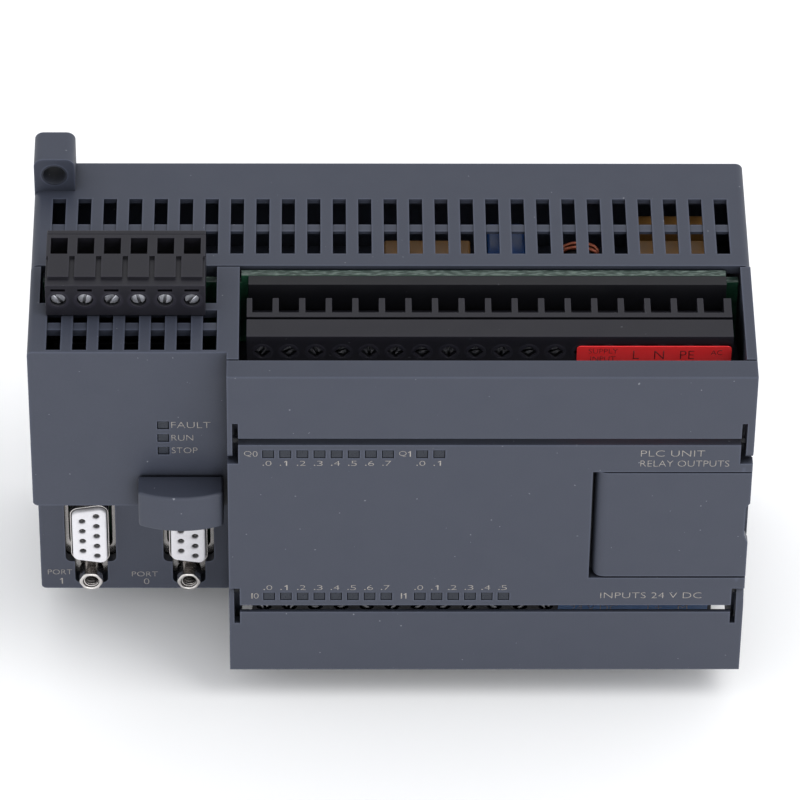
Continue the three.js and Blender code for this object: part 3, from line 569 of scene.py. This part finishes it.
# ---------------------------------------------------------------- terminals
PITCH = 5.14
FIRST_WAY = -24.95
WAYS = 18
PLUG_FIRST_WAY = -64.15
PLUG_WAYS = 6
SCREW_Z = 34.9
PLUG_SCREW_Z = 44.2
SCREW_RADIUS = 1.4
PLUG_SCREW_RADIUS = 1.42
SCREW_SINK = 0.6  # how far the heads lie behind the front of an 18-way block
HEAD_DEPTH = 1.8
HALF_SLOT = 0.24
SLOT_DEPTH = 0.4
COLLAR_DEPTH = 1.2
COLLAR_PROUD = 0.03
BLOCK_COLLAR = (1.5, 2.0)  # inner and outer radius
PLUG_COLLAR = (1.55, 2.05)
CAGE_HALF_WIDTH = 1.5
BLOCK_CAGE_Y = (-35.2, -31.6)
BLOCK_CAGE_Z = (33.2, 35.4)  # distance from the middle, sole and rim
BLOCK_CAGE_WALL = (1.4, 1.8)  # inner and outer distance of a side wall from the screw axis
PLUG_CAGE_Y = (-29.1, -24.9)
PLUG_CAGE_Z = (43.1, 45.2)
PLUG_CAGE_WALL = (1.25, 1.55)
CAGE_SOLE = 0.4


def way_centres(first, count):
    return [first + index * PITCH for index in range(count)]


def screw_head(builder, x, z, front, radius):
    """Slotted cheese head that faces -Y, turned to a chance angle."""
    turn = random.uniform(0, math.pi)
    builder.rod((x, front + HEAD_DEPTH, z), (x, front + SLOT_DEPTH, z), radius)
    for side in (0, math.pi):
        half = half_moon(x, z, radius, HALF_SLOT, turn + side)
        builder.plate(half, [], front + SLOT_DEPTH + 0.1, front, 0.12)


def terminal_screws(side, block):
    """Slotted screw heads sunk in the front holes of an 18-way block."""
    front = box_mm(block)[0].y + SCREW_SINK
    screws = Builder()
    for x in way_centres(FIRST_WAY, WAYS):
        screw_head(screws, x, side * SCREW_Z, front, SCREW_RADIUS)
    # The heads take the darker zinc: painted shade for their place deep in the holes.
    screws.piece(f"{block}_screws", "module", "nickel", look=PAINTED_SHADE_ZINC)


def hole_collars(name, body, places, front, inner, outer):
    """Smooth rims that round off the faceted screw holes of a block."""
    collars = Builder()
    for place in places:
        rim = ring_points(*place, outer, 28)
        bore = ring_points(*place, inner, 28)
        collars.plate(rim, [bore], front + COLLAR_DEPTH, front - COLLAR_PROUD, 0.04)
    collars.piece(name, body, "dark_plastic")


def block_collars(side, block):
    places = [(x, side * SCREW_Z) for x in way_centres(FIRST_WAY, WAYS)]
    front = box_mm(block)[0].y
    hole_collars(f"{block}_collars", "module", places, front, *BLOCK_COLLAR)


def plug_collars():
    places = [(x, PLUG_SCREW_Z) for x in way_centres(PLUG_FIRST_WAY, PLUG_WAYS)]
    front = box_mm("analog_plug")[0].y
    hole_collars("analog_plug_collars", "plug", places, front, *PLUG_COLLAR)


def plug_lip():
    """Thin latch lip along the back of the six-way plug, set off by a groove."""
    low, high = box_mm("analog_plug")
    lip = Builder()
    lip.box((low.x, high.y + 0.25, high.z - 3.2), (high.x, high.y + 1.35, high.z - 0.15))
    lip.box((low.x + 0.4, high.y - 0.3, high.z - 3.2), (high.x - 0.4, high.y + 0.5, high.z - 0.8))
    lip.piece("analog_plug_lip", "plug", "dark_plastic", bevel=0.15)


def add_cage(cages, x, depth, height, wall, lap):
    """Open cage round a screw axis at x: a sole and two side walls that start lap above it."""
    back, front = depth[1], depth[0]
    sole = sorted((height[0], height[0] + math.copysign(CAGE_SOLE, height[0])))
    sides = sorted((height[0] + lap, height[1]))
    for wall_side in (-1, 1):
        inner, outer = sorted(x + wall_side * distance for distance in wall)
        cages.box((inner, front, sides[0]), (outer, back, sides[1]))
    cages.box((x - CAGE_HALF_WIDTH, front, sole[0]), (x + CAGE_HALF_WIDTH, back, sole[1]))


def wire_clamps(side, block):
    """Plated cage in each wire entry of an 18-way block."""
    cages = Builder()
    height = [side * level for level in BLOCK_CAGE_Z]
    for x in way_centres(FIRST_WAY, WAYS):
        add_cage(cages, x, BLOCK_CAGE_Y, height, BLOCK_CAGE_WALL, 0.0)
    # The cages take the darker zinc: painted shade inside the wire entries.
    cages.piece(f"{block}_clamps", "module", "nickel", bevel=0.05, look=PAINTED_SHADE_ZINC)


def plug_screws():
    """One detailed screw for each CAD screw of the six-way plug."""
    for index, x in enumerate(way_centres(PLUG_FIRST_WAY, PLUG_WAYS), start=1):
        node = f"analog_plug_screw_{index}"
        front = box_mm(node)[0].y
        screw = Builder()
        screw_head(screw, x, PLUG_SCREW_Z, front, PLUG_SCREW_RADIUS)
        body = f"plug_screw_{index}"
        item = screw.piece(f"{body}_head", body, "nickel", look=BRIGHT_ZINC)
        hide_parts(node)


def plug_clamps():
    """Plated wire cages inside the six-way plug."""
    cages = Builder()
    for x in way_centres(PLUG_FIRST_WAY, PLUG_WAYS):
        add_cage(cages, x, PLUG_CAGE_Y, PLUG_CAGE_Z, PLUG_CAGE_WALL, 0.2)
    cages.piece("analog_plug_clamps", "plug", "nickel", bevel=0.05)


# ---------------------------------------------------------------- nine-way sockets
JACK_SPACING = 12.5  # from the middle of the socket
CONTACT_STEP = 2.77
ROW_OFFSET = 1.42
CONTACT_ROWS = ((1, 5), (-1, 4))
# Half width, half height and corner radius of each upright D.
INSERT_D = (3.45, 7.7, 1.4)
SKIRT_D = (3.85, 8.25, 1.9)
RIM_D = (3.6, 7.95, 1.6)
OPENING_D = (4.25, 8.7, 2.2)
INSERT_DEPTH = 3.6
CONTACT_HOLE = 0.62
SLEEVE_OUTER = 0.58
SLEEVE_BORE = 0.36
SLEEVE_LENGTH = 2.5
RIM_SINK = 0.9  # how far the metal rim and the sleeves lie behind the insert's front
FLANGE_THICKNESS = 1.0
JACK_HOLE = 1.3
NUT_WIDTH = 4.45  # across flats
NUT_DEPTH = 4.6
NUT_BORE = 1.6


def d_outline(x, z, half_width, half_height, radius):
    """Upright D with its wide side to the right."""
    slope = 2 * half_width * math.tan(math.radians(10))
    corners = [
        (x - half_width, z - half_height + slope),
        (x + half_width, z - half_height),
        (x + half_width, z + half_height),
        (x - half_width, z + half_height - slope),
    ]
    return fillet(corners, radius)


def contact_places(x, z):
    places = []
    for side, count in CONTACT_ROWS:
        for index in range(count):
            places.append((x + side * ROW_OFFSET, z + (index - (count - 1) / 2) * CONTACT_STEP))
    return places


def socket_centre(number):
    low, high = box_mm(f"port_{number}_insert")
    return (low.x + high.x) / 2, (low.z + high.z) / 2


def port_insert(number):
    x, z = socket_centre(number)
    holes = [ring_points(*place, CONTACT_HOLE) for place in contact_places(x, z)]
    front = box_mm(f"port_{number}_insert")[0].y
    insert = Builder()
    insert.plate(d_outline(x, z, *INSERT_D), holes, front + INSERT_DEPTH, front, 0.4)
    item = insert.piece(f"port_{number}_contact_block", "module", "white_plastic")
    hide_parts(f"port_{number}_insert")


def port_contacts(number):
    """Split sleeves sunk in the contact holes."""
    x, z = socket_centre(number)
    front = box_mm(f"port_{number}_insert")[0].y + RIM_SINK
    sleeves = Builder()
    for place in contact_places(x, z):
        rim = ring_points(*place, SLEEVE_OUTER)
        bore = ring_points(*place, SLEEVE_BORE)
        sleeves.plate(rim, [bore], front + SLEEVE_LENGTH, front, 0.05)
    sleeves.piece(f"port_{number}_contacts", "module", "nickel")


def port_shell(number):
    """Drawn metal shell: thin D rim standing on a flange with two jack holes."""
    x, z = socket_centre(number)
    low, high = box_mm(f"port_{number}_shell")
    flange_front = high.y - FLANGE_THICKNESS
    rim_front = box_mm(f"port_{number}_insert")[0].y + RIM_SINK
    skirt = d_outline(x, z, *SKIRT_D)
    rim = d_outline(x, z, *RIM_D)
    opening = d_outline(x, z, *OPENING_D)
    flange = fillet([(low.x, low.z), (high.x, low.z), (high.x, high.z), (low.x, high.z)], 1.0)
    jacks = [ring_points(x, z + side * JACK_SPACING, JACK_HOLE) for side in (-1, 1)]
    shell = Builder()
    shell.plate(flange, [opening] + jacks, high.y, flange_front, 0.15)
    shell.plate(skirt, [rim], high.y, rim_front, 0.1)
    item = shell.piece(f"port_{number}_drawn_shell", "module", "nickel")
    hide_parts(f"port_{number}_shell")


def jack_screw(number, side, place):
    """Hexagonal jack nut with a helical thread in its bore."""
    node = f"port_{number}_jack_{place}"
    x, z = socket_centre(number)
    z += side * JACK_SPACING
    front = box_mm(node)[0].y
    back = front + NUT_DEPTH
    corner = (NUT_WIDTH / 2) / math.cos(math.radians(30))
    hexagon = fillet(ring_points(x, z, corner, 6), 1.3, 4)
    nut = Builder()
    nut.plate(hexagon, [ring_points(x, z, NUT_BORE, 28)], back, front, 0.25)
    nut.ring_surface(thread_rings(x, z, front + 0.35, back, NUT_BORE + 0.05))
    item = nut.piece(f"port_{number}_jack_nut_{place}", "module", "nickel")
    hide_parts(node)


def thread_rings(x, z, front, back, outer):
    """Rings of a threaded sleeve: its outer rims and the helical crest between them."""
    crest, height, lead = 1.18, 0.36, 0.75
    sides, steps = 28, 30

    def ring(radius_at, depth):
        points = []
        for side in range(sides):
            turn = math.tau * side / sides
            radius = radius_at(side / sides)
            points.append((x + radius * math.cos(turn), depth, z + radius * math.sin(turn)))
        return points

    rings = [ring(lambda share: outer, back), ring(lambda share: outer, front)]
    for step in range(steps + 1):
        depth = front + (back - front) * step / steps
        rings.append(ring(
            lambda share: crest + height * abs(2 * ((depth / lead + share) % 1) - 1), depth))
    return rings


# ---------------------------------------------------------------- screw tabs
TAB_HOLE = (66.0, 44.1)  # distance of each tab hole from the middle, in X and in Z
TAB_FRONT = -1.3
LINING_OUTER = 2.6
LINING_BORE = 2.2


def tab_hole_lining(side, name):
    """Round lining that smooths a tab's faceted screw hole, in painted shade: a darker copy of the case
    plastic.
    """
    x, z = -side * TAB_HOLE[0], side * TAB_HOLE[1]
    back = box_mm("rear_housing")[1].y
    lining = Builder()
    rim = ring_points(x, z, LINING_OUTER, 40)
    bore = ring_points(x, z, LINING_BORE, 40)
    lining.plate(rim, [bore], back, TAB_FRONT - 0.02, 0.05)
    lining.piece(f"tab_hole_lining_{name}", "module", "case_plastic", look=PAINTED_SHADE_PLASTIC)


# ---------------------------------------------------------------- parts on the boards
CHOKE_TURNS = 15
STEPS_PER_TURN = 14
CHOKE_RADIUS = 5.1  # from the middle of the ring to the middle of its core
WIRE_RADIUS = 0.42
WINDING = (1.65, 3.6)  # reach of the wire from the middle of the core, across and along the ring's axis
CORE = (1.2, 3.1)  # the same for the surface of the core
WINDING_GAP = 20  # degrees left bare on each side of the ends of the wire
CORE_SIDES = 40
CORE_FACETS = 12


def choke_middle():
    low, high = box_mm("filter_choke")
    return (low + high) / 2


def choke_place(middle, around, across, section):
    """Point beside the ring of the choke; both angles in radians."""
    reach = CHOKE_RADIUS + section[0] * math.cos(across)
    return (
        middle.x + section[1] * math.sin(across),
        middle.y + reach * math.sin(around),
        middle.z - reach * math.cos(around),
    )


def choke_winding():
    """Copper wire wound round the ring core, seen through the top vents."""
    count = CHOKE_TURNS * STEPS_PER_TURN
    start = math.radians(WINDING_GAP)
    sweep = math.tau - 2 * start
    middle = choke_middle()
    points = []
    for step in range(count + 1):
        share = step / count
        across = math.tau * CHOKE_TURNS * share
        points.append(choke_place(middle, start + sweep * share, across, WINDING))
    turns = Builder()
    turns.wire(points, WIRE_RADIUS)
    item = turns.piece("choke_winding", "module", "copper_wire")
    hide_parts("filter_choke")


def choke_core():
    middle = choke_middle()
    rings = []
    for side in range(CORE_SIDES):
        around = math.tau * side / CORE_SIDES
        across = [math.tau * facet / CORE_FACETS for facet in range(CORE_FACETS)]
        rings.append([choke_place(middle, around, angle, CORE) for angle in across])
    core = Builder()
    core.ring_surface(rings)
    core.piece("choke_core", "module", "black_plastic")


CHIP_COLUMNS = (-22, -8.5, 30, 36.5)
CHIP_ROWS = (-14, -6, 12)
CHIP_SIZES = ((4.9, 3.9), (6.2, 5.2), (3.0, 2.8))
RESISTOR_COLUMNS = range(44, 58, 2)
PIN_ROWS = 7
PIN_STEP = 2.54


def board_parts():
    """Small chips and resistors on the front of the logic board."""
    front = box_mm("logic_board")[0].y
    chips = Builder()
    for x in CHIP_COLUMNS:
        for z in CHIP_ROWS:
            width, height = random.choice(CHIP_SIZES)
            chips.box((x, front - 1.5, z), (x + width, front - 0.02, z + height))
    for x in RESISTOR_COLUMNS:
        chips.box((x, front - 0.6, -9.2), (x + 0.9, front - 0.02, -7.6))
    chips.piece("logic_board_chips", "module", "black_plastic", bevel=0.12)


def expansion_pins():
    low, high = box_mm("expansion_connector")
    middle = (low.x + high.x) / 2
    pins = Builder()
    for column in (-1, 1):
        for row in range(PIN_ROWS):
            x = middle + column
            z = (row - (PIN_ROWS - 1) / 2) * PIN_STEP
            pins.box((x - 0.3, low.y + 1.0, z - 0.3), (x + 0.3, low.y + 5.2, z + 0.3))
    pins.piece("expansion_pins", "module", "nickel", bevel=0.08)


# ---------------------------------------------------------------- lettering
PRINT_THICKNESS = 0.02
STROKE_THINNING = 0.018
LAMP_FIRST = -23.8
LAMP_PITCH = 3.305
PANEL_FRONT = -55.0
BAY_FRONT = -48.0
PORT_FRONT = -32.0


def figure_one():
    """Figure 1 with a flag, which the built-in font draws as a bare stroke."""
    flat = bpy.data.meshes.new("figure_one")
    corners = ((0.26, 0), (0.4, 0), (0.4, 1), (0.28, 1), (0.05, 0.78), (0.05, 0.66), (0.26, 0.8))
    flat.from_pydata([(x, z, 0) for x, z in corners], [], [tuple(range(len(corners)))])
    return flat


def text_outline(text):
    """Flat mesh of a text in the built-in font, with its strokes thinned."""
    if text == "1":
        return figure_one()
    font = bpy.data.curves.new("text", "FONT")
    font.body = text
    font.resolution_u = 3
    font.offset = -STROKE_THINNING
    return curve_mesh(font)


def span(mesh, axis):
    values = [vertex.co[axis] for vertex in mesh.vertices]
    return min(values), max(values)


def lettering(name, items, depth_y, body, ink=LEGEND):
    """One mesh of thin print on a plane facing -Y.

    Each item: text, x of its left edge, z of its middle, height and width, in millimetres.
    """
    whole = bmesh.new()
    for text, x, z, height, width in items:
        flat = text_outline(text)
        left, right = span(flat, 0)
        low, high = span(flat, 1)
        to_corner = Matrix.Translation((-left, -low, 0))
        to_size = Matrix.Diagonal((width * MM / (right - left), height * MM / (high - low), 1, 1))
        stand = Matrix.Rotation(math.radians(90), 4, "X")
        to_place = Matrix.Translation(mm(x, depth_y, z - height / 2))
        flat.transform(to_place @ stand @ to_size @ to_corner)
        whole.from_mesh(flat)
        bpy.data.meshes.remove(flat)
    raised = bmesh.ops.extrude_face_region(whole, geom=whole.faces[:])
    lifted = [part for part in raised["geom"] if isinstance(part, bmesh.types.BMVert)]
    bmesh.ops.translate(whole, verts=lifted, vec=mm(0, -PRINT_THICKNESS, 0))
    data = bpy.data.meshes.new(name)
    whole.to_mesh(data)
    whole.free()
    data.materials.append(ink)
    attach(add_object(name, data), body)


def lamp_digits(z, columns):
    """A point and a digit below or above each lamp window."""
    digits = []
    for digit, column in columns:
        x = LAMP_FIRST + column * LAMP_PITCH
        digits.append((".", x - 1.1, z - 0.52, 0.26, 0.3))
        width = 0.6 if digit == 1 else 1.15
        digits.append((str(digit), x + 0.05 - width / 2, z, 1.3, width))
    return digits


def row_name(letter, letter_width, digit, x, z):
    """Name of a lamp row, such as Q0, from its left edge x."""
    digit_x = x + letter_width + (0.22 if digit == "0" else 0.3)
    digit_width = 0.95 if digit == "0" else 0.55
    return [(letter, x, z, 1.5, letter_width), (digit, digit_x, z, 1.45, digit_width)]


def add_panel_legends():
    outputs = [(i, i) for i in range(8)] + [(i, i + 9) for i in range(2)]
    inputs = [(i, i) for i in range(8)] + [(i, i + 9) for i in range(6)]
    panel = lamp_digits(17.25, outputs) + lamp_digits(-16.8, inputs)
    panel += row_name("Q", 1.45, "0", -28.47, 19.76) + row_name("Q", 1.45, "1", 1.46, 19.77)
    panel += row_name("I", 0.25, "0", -27.3, -19.12) + row_name("I", 0.25, "1", 2.2, -19.12)
    panel += [
        ("PLC UNIT", 48.2, 19.9, 1.6, 12.4),
        ("RELAY OUTPUTS", 48.2, 17.2, 1.6, 17.2),
        ("INPUTS 24 V DC", 41.6, -18.98, 1.6, 20.0),
    ]
    lettering("panel_legends", panel, PANEL_FRONT, "module")


def add_bay_legends():
    status = [
        ("FAULT", -42.6, 20.8, 1.6, 7.6),
        ("RUN", -42.6, 17.37, 1.5, 4.2),
        ("STOP", -42.6, 14.0, 1.5, 5.0),
    ]
    lettering("status_legends", status, BAY_FRONT, "module")
    ports = [
        ("PORT", -68.65, -35.41, 1.35, 4.9),
        ("1", -66.3, -37.96, 1.6, 0.6),
        ("PORT", -51.7, -36.0, 1.35, 5.2),
        ("0", -49.33, -38.1, 1.6, 1.1),
    ]
    lettering("port_legends", ports, PORT_FRONT, "module")


def add_label_legends():
    upper = [
        ("SUPPLY", 38.0, 35.7, 1.2, 5.6),
        ("INPUT", 38.4, 33.7, 1.2, 4.8),
        ("L   N   PE", 46.6, 34.7, 2.1, 11.8),
        ("AC", 61.6, 35.3, 1.2, 2.2),
    ]
    front = box_mm("upper_terminal_label")[0].y
    lettering("upper_label_print", upper, front, "module", LABEL_INK)
    lower = [("24 V DC", 36.5, -34.6, 1.6, 9.5), ("L+   M", 52.0, -34.6, 1.6, 8.0)]
    front = box_mm("lower_terminal_label")[0].y
    lettering("lower_label_print", lower, front, "module")


# ---------------------------------------------------------------- assembly
add_camera()
add_studio()
add_floor()
for node_name, node_object in NODES.items():
    finish_node(node_name, node_object)
for side, block in ((1, "upper_terminal_block"), (-1, "lower_terminal_block")):
    terminal_screws(side, block)
    wire_clamps(side, block)
    block_collars(side, block)
plug_screws()
plug_collars()
plug_lip()
plug_clamps()
for number in (0, 1):
    port_insert(number)
    port_contacts(number)
    port_shell(number)
    jack_screw(number, 1, "upper")
    jack_screw(number, -1, "lower")
tab_hole_lining(1, "upper")
tab_hole_lining(-1, "lower")
choke_winding()
choke_core()
board_parts()
expansion_pins()
add_panel_legends()
add_bay_legends()
add_label_legends()
